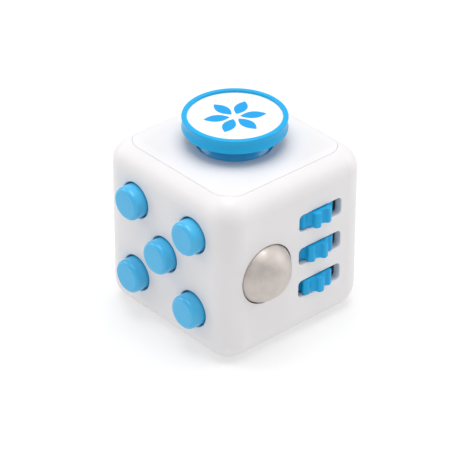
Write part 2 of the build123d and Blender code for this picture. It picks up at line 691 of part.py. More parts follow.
# ---------------------------------------------------------------- dial
def make_dial():
    """A scalloped disc with an off-centre finger dimple, and a shaft through the wall."""
    thickness = DIAL_PROUD - DIAL_GAP
    outline = Circle(DIAL_RADIUS)
    scallop = Pos(DIAL_RADIUS + DIAL_SCALLOP_OUT, 0) * Circle(DIAL_SCALLOP_RADIUS)
    for number in range(DIAL_SCALLOPS):
        outline -= Rot(0, 0, number * 360 / DIAL_SCALLOPS) * scallop
    disc = extrude(outline, thickness)
    disc = chamfer(disc.edges().group_by(Axis.Z)[-1], DIAL_BEVEL)
    dimple_ball = (DIAL_DIMPLE_RADIUS**2 + DIAL_DIMPLE_DEPTH**2) / (2 * DIAL_DIMPLE_DEPTH)
    disc -= Pos(DIAL_DIMPLE_OFFSET, 0, thickness - DIAL_DIMPLE_DEPTH + dimple_ball) * Sphere(dimple_ball)
    shaft_end = dial_shaft_end() - HALF - DIAL_GAP
    disc += Pos(0, 0, shaft_end) * Cylinder(DIAL_SHAFT, -shaft_end, align=BASE_UP)
    disc -= rod(SCREW_HOLE, (0, 0, shaft_end - PAST), UP, DIAL_SCREW_LENGTH + PAST)
    face = Plane(origin=(0, HALF + DIAL_GAP, MID_Z), x_dir=(0, 0, 1), z_dir=(0, 1, 0))
    return face * disc


def dial_shaft_end():
    """The y of the shaft's inner end, just past the wall's boss."""
    return INSIDE - DIAL_BOSS_HEIGHT - DIAL_GAP


def make_dial_washer():
    washer = Cylinder(WASHER_RADIUS, WASHER_THICKNESS, align=BASE_UP)
    washer -= Cylinder(SCREW_HOLE, WASHER_THICKNESS, align=BASE_UP)
    return frame_at((0, dial_shaft_end(), MID_Z), TO_NEG_Y) * washer


def make_dial_screw():
    return screw((0, dial_shaft_end() - WASHER_THICKNESS, MID_Z), TO_POS_Y, DIAL_SCREW_LENGTH)


# ---------------------------------------------------------------- fasteners
def shifted(place, direction, distance):
    return tuple(Vector(*place) + direction * distance)


def make_plate_screws():
    seats = [shifted(place, TO_POS_Y, PLATE_THICKNESS) for place in plate_screw_places()]
    return Compound([screw(seat, TO_NEG_Y, PLATE_SCREW_LENGTH) for seat in seats])


def make_bracket_screws():
    seats = [shifted(place, TO_NEG_X, BRACKET_WALL) for place in bracket_screw_places()]
    return Compound([screw(seat, TO_POS_X, POST_SCREW_LENGTH) for seat in seats])


def make_guide_screws():
    seats = [shifted(place, TO_NEG_X, BRACKET_WALL) for place in guide_screw_places()]
    return Compound([screw(seat, TO_POS_X, POST_SCREW_LENGTH) for seat in seats])


def make_frame_screws():
    seats = [shifted(place, TO_POS_X, FRAME_WALL) for place in frame_screw_places()]
    return Compound([screw(seat, TO_NEG_X, POST_SCREW_LENGTH) for seat in seats])


def make_base_screws():
    seats = [shifted(place, DOWN, BASE_THICKNESS) for place in base_screw_places()]
    return Compound([screw(seat, UP, BASE_SCREW_LENGTH) for seat in seats])


def make_cap_screw():
    return screw((0, 0, cap_screw_seat()), DOWN, CAP_SCREW_LENGTH)


# ---------------------------------------------------------------- all nodes
def make_nodes():
    nodes = {
        "cube_shell": make_cube_shell(),
        "top_cover": make_top_cover(),
        "button_back_plate": make_button_back_plate(),
        "button_plate_screws": make_plate_screws(),
        "roller_bracket": make_roller_bracket(),
        "roller_axle": make_roller_axle(),
        "roller_bracket_screws": make_bracket_screws(),
        "steel_ball": make_steel_ball(),
        "ball_cup": make_ball_cup(),
        "ball_guide": make_ball_guide(),
        "ball_click_dome": make_ball_click_dome(),
        "ball_guide_screws": make_guide_screws(),
        "joystick_cap": make_joystick_cap(),
        "joystick_label": make_joystick_label(),
        "joystick_stem": make_joystick_stem(),
        "joystick_collar": make_joystick_collar(),
        "joystick_cap_screw": make_cap_screw(),
        "gimbal_ring": make_gimbal_ring(),
        "gimbal_cross_pin": make_gimbal_cross_pin(),
        "joystick_base": make_joystick_base(),
        "joystick_base_screws": make_base_screws(),
        "joystick_spring": make_joystick_spring(),
        "rocker": make_rocker(),
        "switch_pin": make_switch_pin(),
        "switch_frame": make_switch_frame(),
        "switch_frame_screws": make_frame_screws(),
        "switch_detent_spring": make_switch_detent_spring(),
        "dial": make_dial(),
        "dial_washer": make_dial_washer(),
        "dial_screw": make_dial_screw(),
    }
    for name, (across, above) in BUTTON_PLACES.items():
        nodes["button_" + name] = make_button(across, above)
    for name in CLICK_BUTTONS:
        nodes["click_dome_" + name] = make_click_dome(*BUTTON_PLACES[name])
    for name in SILENT_BUTTONS:
        nodes["silent_pad_" + name] = make_silent_pad(*BUTTON_PLACES[name])
    for name, level in ROLLER_LEVELS.items():
        nodes["roller_" + name] = make_roller(level, ROLLER_PHASES[name])
    return nodes


os.makedirs("parts", exist_ok=True)
for node_name, shape in make_nodes().items():
    export_step(shape, f"parts/{node_name}.step")
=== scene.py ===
"""The looks of the fidget cube: camera, floor, studio light, finer pieces and a material for every piece.

Metres, in the frame's own axes. Places come from the frame's boxes, and the values below are the
details that the boxes don't give. A length multiplied by MM has its number in millimetres. The
lights, the floor and the camera's far limit are in plain metres.
"""

import json
import math

import bmesh
import bpy
from mathutils import Matrix, Vector


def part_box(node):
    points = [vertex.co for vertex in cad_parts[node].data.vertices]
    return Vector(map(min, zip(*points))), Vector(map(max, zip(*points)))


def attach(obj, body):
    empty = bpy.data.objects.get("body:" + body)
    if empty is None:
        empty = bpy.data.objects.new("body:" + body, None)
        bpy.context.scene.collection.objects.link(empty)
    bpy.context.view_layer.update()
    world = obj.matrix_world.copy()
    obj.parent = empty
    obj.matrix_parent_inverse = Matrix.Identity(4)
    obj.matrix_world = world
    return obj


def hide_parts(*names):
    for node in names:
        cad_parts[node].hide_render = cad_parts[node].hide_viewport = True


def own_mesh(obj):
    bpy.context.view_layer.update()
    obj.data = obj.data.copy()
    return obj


MM = 0.001

# ---------------------------------------------------------------- camera
CAMERA_AZIMUTH = math.radians(48.443)
CAMERA_ELEVATION = math.radians(32.574)
CAMERA_ROLL = math.radians(0.166)
CAMERA_DISTANCE = 487.805 * MM
CAMERA_TARGET = Vector((-0.071, -1.240, 15.296)) * MM
CAMERA_LENS = 215.7  # this and the sensor in millimetres, as Blender takes them
CAMERA_SENSOR = 36.0
CAMERA_NEAR = 10 * MM
CAMERA_FAR = 20.0

# ---------------------------------------------------------------- light
WORLD_STRENGTH = 0.45
LIGHT_DISTANCE = 0.6
LIGHTS = {  # azimuth and elevation in degrees, size in metres, power in watts
    "top_light": (0, 90, 0.5, 3.05),
    "left_light": (-60, 25, 0.35, 0.82),
    "right_light": (150, 25, 0.35, 0.82),
    "front_light": (50, 22, 0.55, 0.2),
}
FLOOR_RADIUS = 3.0
FLOOR_SEGMENTS = 64
FLOOR_ROUGHNESS = 0.9
FLOOR_GLOW = 0.44

# ---------------------------------------------------------------- colours, as linear red, green and blue
PURE_WHITE = (1.0, 1.0, 1.0)
WHITE = (0.79, 0.772, 0.78)
BLUE = (0.012, 0.39, 0.74)
# the same blue plastic painted lighter for the buttons and the collar: painted light, standing in for
# more light falling on them
BUTTON_BLUE_PAINTED_LIGHT = (0.055, 0.45, 0.78)
LABEL_WHITE = (0.88, 0.88, 0.89)
MARK_BLUE = (0.0, 0.33, 0.74)
STEEL = (0.63, 0.57, 0.53)
BRIGHT_STEEL = (0.60, 0.60, 0.61)
# near black for the parts inside the cube: painted shade, standing in for the shadow inside it
INNER_PAINTED_SHADE = (0.045, 0.045, 0.05)
RUBBER = (0.03, 0.03, 0.032)
FLOOR = (0.50, 0.50, 0.50)

# ---------------------------------------------------------------- surfaces
PLASTICS = {  # colour, roughness, size and depth of the grain, shine
    "white_plastic": (WHITE, 0.42, 0.12 * MM, 0.002 * MM, 0.5),
    "blue_plastic": (BLUE, 0.34, 0.2 * MM, 0.0015 * MM, 0.22),
    # the buttons' and collar's entry is the blue plastic painted lighter, as painted light, with its own
    # gloss
    "button_plastic": (BUTTON_BLUE_PAINTED_LIGHT, 0.24, 0.2 * MM, 0.0015 * MM, 0.5),
    # the inner parts are painted near black, as painted shade for the dark inside of the cube
    "inner_plastic": (INNER_PAINTED_SHADE, 0.5, 0.15 * MM, 0.004 * MM, 0.5),
    "label_film": (LABEL_WHITE, 0.25, 0.4 * MM, 0.001 * MM, 0.5),
    "mark_ink": (MARK_BLUE, 0.3, 0.1 * MM, 0.001 * MM, 0.5),
    "pad_rubber": (RUBBER, 0.7, 0.1 * MM, 0.006 * MM, 0.5),
}
TURNED_STEELS = {"screw_steel": 0.3, "spring_steel": 0.22}  # roughness
PLASTIC_SHADE = 0.97  # the darker end of the drift in a plastic's colour, as a share of it
PLASTIC_SWING = 0.1  # how far the roughness strays either way, as a share of it
DRIFT_SIZE = 9 * MM
DRIFT_DETAIL = 2.0
GRAIN_DETAIL = 4.0
STEEL_SWING = 0.2
TOOL_MARK_SIZE = 0.15 * MM
TOOL_MARK_DEPTH = 0.003 * MM
TOOL_MARK_DETAIL = 3.0
BALL_ROUGHNESS = 0.5
BALL_ROUGHNESS_RANGE = (0.38, 0.6)
BALL_METALLIC = 0.55
BALL_SHADE = 0.88
MOTTLE_SIZE = 1.6 * MM
MOTTLE_DEPTH = 0.05 * MM
NOISE_RANGE = (0.3, 0.7)  # the part of a noise's values that a roughness follows
TINT_RANGE = (0.35, 0.65)  # the part that a colour follows

# ---------------------------------------------------------------- details of the finer pieces
EDGE_RADIUS = 4.5 * MM
WALL = 1.5 * MM
COVER_THICKNESS = 1.8 * MM
COVER_GAP = 0.05 * MM
COVER_CORNER = 3.6 * MM
COVER_LEDGE = 0.95 * MM
DISH_RADIUS = 8.5 * MM
DISH_DEPTH = 1.3 * MM
DISH_RIM = 0.8 * MM
BOSS_RADIUS = 3.2 * MM
BOSS_HEIGHT = 2.0 * MM
SHAFT_HOLE = 1.65 * MM
BUTTON_HOLE = 3.405 * MM
SLOT_SIZE = (9.83 * MM, 3.366 * MM)  # across and up
SLOT_CENTRE_Y = 5.36 * MM
SLOT_CORNER = 0.8 * MM
BALL_SEAT_GAP = 0.2 * MM
COLLAR_GAP = 0.25 * MM
SWITCH_MOUTH = (8.8 * MM, 14.18 * MM)  # across and up
SWITCH_CORNER = 0.35 * MM
RIM_ROUND = 0.22 * MM
BALL_LIP = 0.08 * MM
PAST = 1.0 * MM  # how far a cutter goes past what it cuts
POST_RADIUS = 1.5 * MM
POST_ROOT = 0.5 * MM
SCREW_HEAD_RADIUS = 1.2 * MM
SCREW_HOLE = 0.7 * MM
POST_HOLE = 3.0 * MM
PLATE_POST = 2.2 * MM
BRACKET_POST = 3.52 * MM
GUIDE_POST = 6.25 * MM
FRAME_POST = 3.0 * MM
BASE_POST = 6.74 * MM
CLIP_OFFSET = 6.5 * MM
CLIP_THICKNESS = 1.0 * MM
CLIP_WIDTH = 3.0 * MM
CLIP_GAP = 0.1 * MM
CLIP_ROOT = 0.3 * MM
HOOK_REACH = 0.6 * MM
HOOK_HEIGHT = 0.9 * MM

ROLLER_TEETH = 9
ROLLER_RADIUS = 4.5 * MM
ROLLER_VALLEY = 0.8 * MM
ROLLER_VALLEY_INSET = 0.1 * MM
ROLLER_ROUND = 0.55 * MM
ROLLER_HEIGHT = 3.0 * MM
ROLLER_BEVEL = 0.16 * MM
ROLLER_HUB = 1.5 * MM
ROLLER_BORE = 0.85 * MM
ROLLER_TURNS = {"roller_lower": -3.0, "roller_middle": 9.0, "roller_upper": -16.5}

CAP_LOWER_ROUND = 0.3 * MM
CAP_BAND_MARGIN = 0.1 * MM
CAP_BAND_HOLLOW = 0.22 * MM
CAP_UPPER_ROUND = 0.3 * MM
CAP_INNER_ROUND = 0.15 * MM
CAP_SOCKET = 2.02 * MM
CAP_SOCKET_DEPTH = 0.4 * MM
CAP_HEAD_HOLE = 1.3 * MM
CAP_HEAD_DEPTH = 0.85 * MM

DOME_SHEET = 0.15 * MM
PAD_TOP = 0.9 * MM
PAD_ROUND = 0.15 * MM

MARK_PETALS = 6
MARK_REACH = 5.6 * MM
MARK_PETAL_WIDTH = 1.15 * MM
MARK_HEART = 0.9 * MM
MARK_THICKNESS = 0.03 * MM
MARK_SUNK = 0.01 * MM

CIRCLE_STEPS = 96
QUARTER_STEPS = 12
DISH_STEPS = 24
SEAT_STEPS = 32
RIM_STEPS = 5
RIM_SWEEP = math.radians(85)
SHARP_ANGLE = math.radians(30)
MERGE_DISTANCE = 0.0005 * MM

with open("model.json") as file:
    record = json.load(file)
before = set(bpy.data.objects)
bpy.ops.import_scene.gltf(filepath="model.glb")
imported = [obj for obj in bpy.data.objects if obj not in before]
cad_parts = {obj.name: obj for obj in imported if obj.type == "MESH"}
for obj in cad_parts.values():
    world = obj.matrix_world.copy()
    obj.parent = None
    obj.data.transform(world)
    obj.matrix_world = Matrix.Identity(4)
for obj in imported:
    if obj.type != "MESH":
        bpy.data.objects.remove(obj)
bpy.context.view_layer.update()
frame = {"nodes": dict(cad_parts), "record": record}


# ---------------------------------------------------------------- sizes that the frame gives
def middle(node):
    """The centre of a node's box."""
    low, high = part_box(node)
    return (low + high) / 2


def half_size(node):
    """Half a node's box, along each axis."""
    low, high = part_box(node)
    return (high - low) / 2


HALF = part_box("cube_shell")[1].x
CUBE = 2 * HALF
INSIDE = HALF - WALL
MID_Z = HALF
COVER_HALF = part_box("top_cover")[1].x
COVER_BOTTOM = CUBE - COVER_THICKNESS
RIM_UNDERSIDE = COVER_BOTTOM - WALL
OPENING_HALF = COVER_HALF - COVER_LEDGE
BALL_CENTRE = middle("steel_ball")
BALL_SEAT = half_size("steel_ball").y + BALL_SEAT_GAP
PIVOT = middle("gimbal_cross_pin")
COLLAR_HOLE = half_size("joystick_collar").x + COLLAR_GAP
ROLLER_AXIS = middle("roller_axle")
BUTTONS = [name for name in frame["nodes"] if name.startswith("button_") and "plate" not in name]


# ---------------------------------------------------------------- materials
def new_material(name, colour, roughness, metallic=0.0):
    """A material with its shader set up, and its node tree's nodes and links."""
    material = bpy.data.materials.new(name)
    material.use_nodes = True
    shader = material.node_tree.nodes["Principled BSDF"]
    shader.inputs["Base Color"].default_value = (*colour, 1.0)
    shader.inputs["Roughness"].default_value = roughness
    shader.inputs["Metallic"].default_value = metallic
    return material, shader, material.node_tree.nodes, material.node_tree.links


def noise(nodes, links, size, detail):
    """A noise texture in the piece's own coordinates, with features about size metres across."""
    place = nodes.new("ShaderNodeTexCoord")
    texture = nodes.new("ShaderNodeTexNoise")
    texture.inputs["Scale"].default_value = 1.0 / size
    texture.inputs["Detail"].default_value = detail
    links.new(place.outputs["Object"], texture.inputs["Vector"])
    return texture.outputs["Fac"]


def spread(nodes, links, source, low, high):
    """A number that follows source, from low to high."""
    scale = nodes.new("ShaderNodeMapRange")
    scale.inputs["From Min"].default_value = NOISE_RANGE[0]
    scale.inputs["From Max"].default_value = NOISE_RANGE[1]
    scale.inputs["To Min"].default_value = low
    scale.inputs["To Max"].default_value = high
    links.new(source, scale.inputs["Value"])
    return scale.outputs["Result"]


def tint(nodes, links, source, colour, other):
    """A colour between colour and other that follows source."""
    ramp = nodes.new("ShaderNodeValToRGB")
    ramp.color_ramp.elements[0].position = TINT_RANGE[0]
    ramp.color_ramp.elements[1].position = TINT_RANGE[1]
    ramp.color_ramp.elements[0].color = (*colour, 1.0)
    ramp.color_ramp.elements[1].color = (*other, 1.0)
    links.new(source, ramp.inputs["Fac"])
    return ramp.outputs["Color"]


def bump(nodes, links, shader, source, depth):
    """Raises the shader's surface by depth metres where source is high."""
    node = nodes.new("ShaderNodeBump")
    node.inputs["Distance"].default_value = depth
    links.new(source, node.inputs["Height"])
    links.new(node.outputs["Normal"], shader.inputs["Normal"])


def moulded_plastic(name, colour, roughness, grain_size, grain_depth, shine):
    """Moulded plastic: fine grain, slightly uneven gloss and a faint drift of colour."""
    material, shader, nodes, links = new_material(name, colour, roughness)
    shader.inputs["Specular IOR Level"].default_value = shine
    darker = tuple(channel * PLASTIC_SHADE for channel in colour)
    drift = noise(nodes, links, DRIFT_SIZE, DRIFT_DETAIL)
    links.new(tint(nodes, links, drift, darker, colour), shader.inputs["Base Color"])
    grain = noise(nodes, links, grain_size, GRAIN_DETAIL)
    gloss = spread(nodes, links, grain, roughness * (1 - PLASTIC_SWING), roughness * (1 + PLASTIC_SWING))
    links.new(gloss, shader.inputs["Roughness"])
    bump(nodes, links, shader, grain, grain_depth)
    return material


def ball_steel():
    """A tumbled steel ball: dull satin, with a faint mottle from handling."""
    material, shader, nodes, links = new_material("ball_steel", STEEL, BALL_ROUGHNESS, BALL_METALLIC)
    mottle = noise(nodes, links, MOTTLE_SIZE, GRAIN_DETAIL)
    darker = tuple(channel * BALL_SHADE for channel in STEEL)
    links.new(tint(nodes, links, mottle, darker, STEEL), shader.inputs["Base Color"])
    links.new(spread(nodes, links, mottle, *BALL_ROUGHNESS_RANGE), shader.inputs["Roughness"])
    bump(nodes, links, shader, mottle, MOTTLE_DEPTH)
    return material


def turned_steel(name, roughness):
    """Plain bright steel with fine tool marks."""
    material, shader, nodes, links = new_material(name, BRIGHT_STEEL, roughness, 1.0)
    marks = noise(nodes, links, TOOL_MARK_SIZE, TOOL_MARK_DETAIL)
    gloss = spread(nodes, links, marks, roughness * (1 - STEEL_SWING), roughness * (1 + STEEL_SWING))
    links.new(gloss, shader.inputs["Roughness"])
    bump(nodes, links, shader, marks, TOOL_MARK_DEPTH)
    return material


def make_materials():
    """Every material of the object, by name."""
    materials = {name: moulded_plastic(name, *look) for name, look in PLASTICS.items()}
    materials["ball_steel"] = ball_steel()
    for name, roughness in TURNED_STEELS.items():
        materials[name] = turned_steel(name, roughness)
    return materials


made = make_materials()


def dress_cad_nodes():
    """Gives each CAD node its slot's material, and the buttons and the collar a lighter copy of the blue
    plastic as painted light.
    """
    slot_of = {
        part["node"]: part["material_slot"]
        for part in frame["record"]["subparts"]
        if part.get("material_slot")
    }
    for name, node in frame["nodes"].items():
        node.data.materials.clear()
        node.data.materials.append(made[slot_of[name]])
    # painted light: the buttons and the collar take the lighter copy of the blue plastic
    for name in BUTTONS + ["joystick_collar"]:
        frame["nodes"][name].data.materials[0] = made["button_plastic"]


# ---------------------------------------------------------------- outlines, as lists of (across, up)
def circle(radius):
    """A function that gives a circle grown by some amount."""
    def outline(grow):
        angles = [2 * math.pi * step / CIRCLE_STEPS for step in range(CIRCLE_STEPS)]
        return [((radius + grow) * math.cos(a), (radius + grow) * math.sin(a)) for a in angles]
    return outline


def rounded_rectangle(half_across, half_up, corner):
    """A function that gives a rounded rectangle grown by some amount."""
    def outline(grow):
        points = []
        for quarter in range(4):
            side = 1 if quarter in (0, 3) else -1
            level = 1 if quarter in (0, 1) else -1
            for step in range(QUARTER_STEPS + 1):
                angle = math.pi / 2 * (quarter + step / QUARTER_STEPS)
                across = side * (half_across - corner) + (corner + grow) * math.cos(angle)
                up = level * (half_up - corner) + (corner + grow) * math.sin(angle)
                points.append((across, up))
        return points
    return outline


def toothed(grow):
    """A roller's outline: round valleys between teeth with rounded shoulders."""
    inner = ROLLER_RADIUS - ROLLER_ROUND
    reach = ROLLER_VALLEY + ROLLER_ROUND
    valley_out = ROLLER_RADIUS - ROLLER_VALLEY_INSET
    shoulder = math.acos((inner**2 + valley_out**2 - reach**2) / (2 * inner * valley_out))
    centre = Vector((inner * math.cos(shoulder), inner * math.sin(shoulder)))
    valley_centre = Vector((valley_out, 0))
    towards = (centre - valley_centre).to_2d()
    valley_end = math.atan2(towards.y, towards.x)
    half = []
    for step in range(QUARTER_STEPS + 1):
        angle = math.pi + (valley_end - math.pi) * step / QUARTER_STEPS
        spot = Vector((math.cos(angle), math.sin(angle)))
        half.append(valley_centre + spot * (ROLLER_VALLEY - grow))
    for step in range(1, QUARTER_STEPS + 1):
        angle = valley_end - math.pi + (shoulder - valley_end + math.pi) * step / QUARTER_STEPS
        spot = Vector((math.cos(angle), math.sin(angle)))
        half.append(centre + spot * (ROLLER_ROUND + grow))
    mirrored = [Vector((point.x, -point.y)) for point in reversed(half[1:])]
    points = []
    for tooth in range(ROLLER_TEETH):
        turn = Matrix.Rotation(2 * math.pi * tooth / ROLLER_TEETH, 2)
        points += [tuple(turn @ point) for point in mirrored + half]
    return points


# ---------------------------------------------------------------- closed meshes from loops
def face_place(outward, origin):
    """A matrix whose z axis is outward and whose y axis is up, for a shape on one of the cube's sides."""
    up = Vector((0, 0, 1)) if abs(outward[2]) < 1 else Vector((0, 1, 0))
    outward = Vector(outward)
    columns = (up.cross(outward), up, outward)
    return Matrix.Translation(origin) @ Matrix(columns).transposed().to_4x4()


def skin(name, loops, ring=False):
    """A closed piece through loops of points. A loop of one point is a tip; ring joins last to first."""
    bm = bmesh.new()
    rows = [[bm.verts.new(point) for point in loop] for loop in loops]
    pairs = list(zip(rows, rows[1:]))
    if ring:
        pairs.append((rows[-1], rows[0]))
    for low, high in pairs:
        count = max(len(low), len(high))
        for here in range(count):
            there = (here + 1) % count
            corners = [low[here % len(low)], low[there % len(low)]]
            corners += [high[there % len(high)], high[here % len(high)]]
            bm.faces.new(list(dict.fromkeys(corners)))
    if not ring:
        for row in (rows[0], rows[-1]):
            if len(row) > 1:
                bm.faces.new(row)
    bmesh.ops.remove_doubles(bm, verts=bm.verts, dist=MERGE_DISTANCE)
    bmesh.ops.recalc_face_normals(bm, faces=bm.faces)
    mesh = bpy.data.meshes.new(name)
    bm.to_mesh(mesh)
    bm.free()
    piece = bpy.data.objects.new(name, mesh)
    bpy.context.scene.collection.objects.link(piece)
    return piece


def stack(name, place, outline, levels):
    """A closed piece whose section at each (grow, height) of levels is the outline grown by that much."""
    loops = []
    for grow, height in levels:
        loops.append([place @ Vector((across, up, height)) for across, up in outline(grow)])
    return skin(name, loops)


def lathe(name, place, profile, ring=False):
    """A closed piece turned about place's z axis from a profile of (radius, height)."""
    loops = []
    for radius, height in profile:
        if radius == 0:
            loops.append([place @ Vector((0, 0, height))])
        else:
            loops.append([place @ Vector((across, up, height)) for across, up in circle(radius)(0)])
    return skin(name, loops, ring)


def cylinder(name, place, radius, low, high):
    """A round bar about place's z axis."""
    return lathe(name, place, [(0, low), (radius, low), (radius, high), (0, high)])


def arc(centre, radius, start, end, steps):
    """Points on a circle in a profile, from one angle in degrees to another."""
    angles = [math.radians(start + (end - start) * step / steps) for step in range(steps + 1)]
    return [(centre[0] + radius * math.cos(a), centre[1] + radius * math.sin(a)) for a in angles]


def flare(depth):
    """The levels of a cutter that leaves a rounded rim round its mouth, which is at height 0."""
    levels = [(0.0, -depth)]
    for step in range(RIM_STEPS + 1):
        angle = RIM_SWEEP * step / RIM_STEPS
        levels.append((RIM_ROUND * (1 - math.cos(angle)), RIM_ROUND * (math.sin(angle) - 1)))
    levels.append((levels[-1][0], PAST))
    return levels


# ---------------------------------------------------------------- joining and cutting
def bake(piece):
    """Replaces the piece's mesh with what its modifiers make of it."""
    graph = bpy.context.evaluated_depsgraph_get()
    mesh = bpy.data.meshes.new_from_object(piece.evaluated_get(graph))
    piece.modifiers.clear()
    piece.data = mesh


def combine(piece, operation, others):
    """Joins the others to the piece, cuts them from it or keeps what they share, and removes them."""
    for other in others:
        modifier = piece.modifiers.new("combine", "BOOLEAN")
        modifier.operation = operation
        modifier.solver = "EXACT"
        modifier.object = other
        bake(piece)
        bpy.data.objects.remove(other)


def smooth(piece):
    """Closes the slivers that cutting left open, then shades smoothly but keeps sharp edges sharp."""
    bm = bmesh.new()
    bm.from_mesh(piece.data)
    bmesh.ops.remove_doubles(bm, verts=bm.verts, dist=MERGE_DISTANCE)
    bmesh.ops.dissolve_degenerate(bm, edges=bm.edges, dist=MERGE_DISTANCE)
    bmesh.ops.holes_fill(bm, edges=[edge for edge in bm.edges if edge.is_boundary], sides=3)
    bmesh.ops.recalc_face_normals(bm, faces=bm.faces)
    for face in bm.faces:
        face.smooth = True
    for edge in bm.edges:
        edge.smooth = len(edge.link_faces) == 2 and edge.calc_face_angle(0) < SHARP_ANGLE
    bm.to_mesh(piece.data)
    bm.free()
    modifier = piece.modifiers.new("even_normals", "WEIGHTED_NORMAL")
    modifier.keep_sharp = True


def finish_piece(piece, body, slot_name, *nodes):
    """Dresses a piece in its slot's material, rides it on its body and lets it stand for CAD nodes."""
    smooth(piece)
    piece.data.materials.clear()
    piece.data.materials.append(made[slot_name])
    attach(piece, body)
    if nodes:
        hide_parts(*nodes)


# ---------------------------------------------------------------- housing
def round_levels(radius, low, high, round_top):
    """(grow, height) levels of a rounded block: its lower edge, and its upper one if round_top."""
    quarter = [math.pi / 2 * step / QUARTER_STEPS for step in range(QUARTER_STEPS + 1)]
    levels = [(radius * (math.sin(a) - 1), low + radius * (1 - math.cos(a))) for a in quarter]
    if round_top:
        levels += [(grow, low + high - height) for grow, height in reversed(levels)]
    else:
        levels.append((0.0, high))
    return levels


def rounded_block(name, half, radius, low, high, round_top):
    """A square block about Z. Its edges are rounded, the upper ones only if round_top."""
    outline = rounded_rectangle(half, half, radius)
    return stack(name, Matrix.Identity(4), outline, round_levels(radius, low, high, round_top))


def column(name, half, corner, low, high):
    """A square column about Z with rounded upright edges."""
    return stack(name, Matrix.Identity(4), rounded_rectangle(half, half, corner), [(0, low), (0, high)])


def dish_ball():
    """The radius of the sphere that the dish is part of."""
    return (DISH_RADIUS**2 + DISH_DEPTH**2) / (2 * DISH_DEPTH)


def dish_pad():
    """The disc inside the floor that gives the dish its wall."""
    return cylinder("pad", Matrix.Identity(4), DISH_RADIUS + DISH_RIM, WALL / 2, WALL + DISH_DEPTH)


def dish_cutter():
    """A shallow sphere cap that opens downwards, with a small round where it meets the flat face."""
    radius = dish_ball()
    centre = DISH_DEPTH - radius
    widest = math.degrees(math.asin(DISH_RADIUS / radius))
    profile = [(0, DISH_DEPTH)] + arc((0, centre), radius, 90, 90 - widest, DISH_STEPS)[1:]
    profile[-1] = (DISH_RADIUS + RIM_ROUND / 2, 0)
    profile += [(DISH_RADIUS + RIM_ROUND / 2, -PAST), (0, -PAST)]
    return lathe("dish", Matrix.Identity(4), profile)


def post(place, length):
    """A round post with a blind screw hole in its end. place is on the wall, with z into the cube."""
    hole_end = length - min(length, POST_HOLE)
    profile = [(0, -POST_ROOT), (POST_RADIUS, -POST_ROOT), (POST_RADIUS, length)]
    profile += [(SCREW_HOLE, length), (SCREW_HOLE, hole_end), (0, hole_end)]
    return lathe("post", place, profile)


def posts(screws, inward, wall, length):
    """The two posts of a pair of screws, on a wall that is wall metres out from the middle."""
    centre = middle(screws)
    half = half_size(screws)
    along = max((axis for axis in range(3) if not inward[axis]), key=lambda axis: half[axis])
    made_posts = []
    for side in (-1, 1):
        foot = centre.copy()
        foot[along] += side * (half[along] - SCREW_HEAD_RADIUS)
        for axis in range(3):
            if inward[axis]:
                foot[axis] = wall
        made_posts.append(post(face_place(inward, foot), length))
    return made_posts


def boss():
    """The thick ring inside the back wall that the dial's shaft runs in."""
    place = face_place((0, -1, 0), (0, INSIDE + POST_ROOT, MID_Z))
    return cylinder("boss", place, BOSS_RADIUS, 0, BOSS_HEIGHT + POST_ROOT)


def side_cutters():
    """Every hole in the cube's four sides but the ball's."""
    cutters = []
    for name in BUTTONS:
        centre = middle(name)
        place = face_place((0, -1, 0), (centre.x, -HALF, centre.z))
        cutters.append(stack("hole", place, circle(BUTTON_HOLE), flare(WALL + PAST)))
    for name in ROLLER_TURNS:
        place = face_place((1, 0, 0), (HALF, SLOT_CENTRE_Y, middle(name).z))
        outline = rounded_rectangle(SLOT_SIZE[0] / 2, SLOT_SIZE[1] / 2, SLOT_CORNER)
        cutters.append(stack("slot", place, outline, flare(WALL + PAST)))
    place = face_place((-1, 0, 0), (-HALF, 0, MID_Z))
    outline = rounded_rectangle(SWITCH_MOUTH[0] / 2, SWITCH_MOUTH[1] / 2, SWITCH_CORNER)
    cutters.append(stack("mouth", place, outline, flare(WALL + PAST)))
    place = face_place((0, 1, 0), (0, HALF, MID_Z))
    cutters.append(stack("shaft", place, circle(SHAFT_HOLE), flare(WALL + BOSS_HEIGHT + PAST)))
    return cutters


def seat_profile(radius, mouth, lip):
    """The profile of a ball seat that opens at height mouth above its centre, with a rounded lip."""
    lip_height = mouth - lip
    lip_radius = math.sqrt((radius + lip) ** 2 - lip_height**2)
    meets = math.degrees(math.atan2(lip_height, lip_radius))
    profile = [(0, -radius)] + arc((0, 0), radius, -90, meets, SEAT_STEPS)[1:]
    sweep_end = 180 - math.degrees(RIM_SWEEP)
    profile += arc((lip_radius, lip_height), lip, 180 + meets, sweep_end, RIM_STEPS)[1:]
    return profile + [(profile[-1][0], mouth + PAST), (0, mouth + PAST)]


def ball_cutter():
    """The ball's seat, which opens to the +X face."""
    place = face_place((1, 0, 0), BALL_CENTRE)
    return lathe("seat", place, seat_profile(BALL_SEAT, HALF - BALL_CENTRE.x, BALL_LIP))


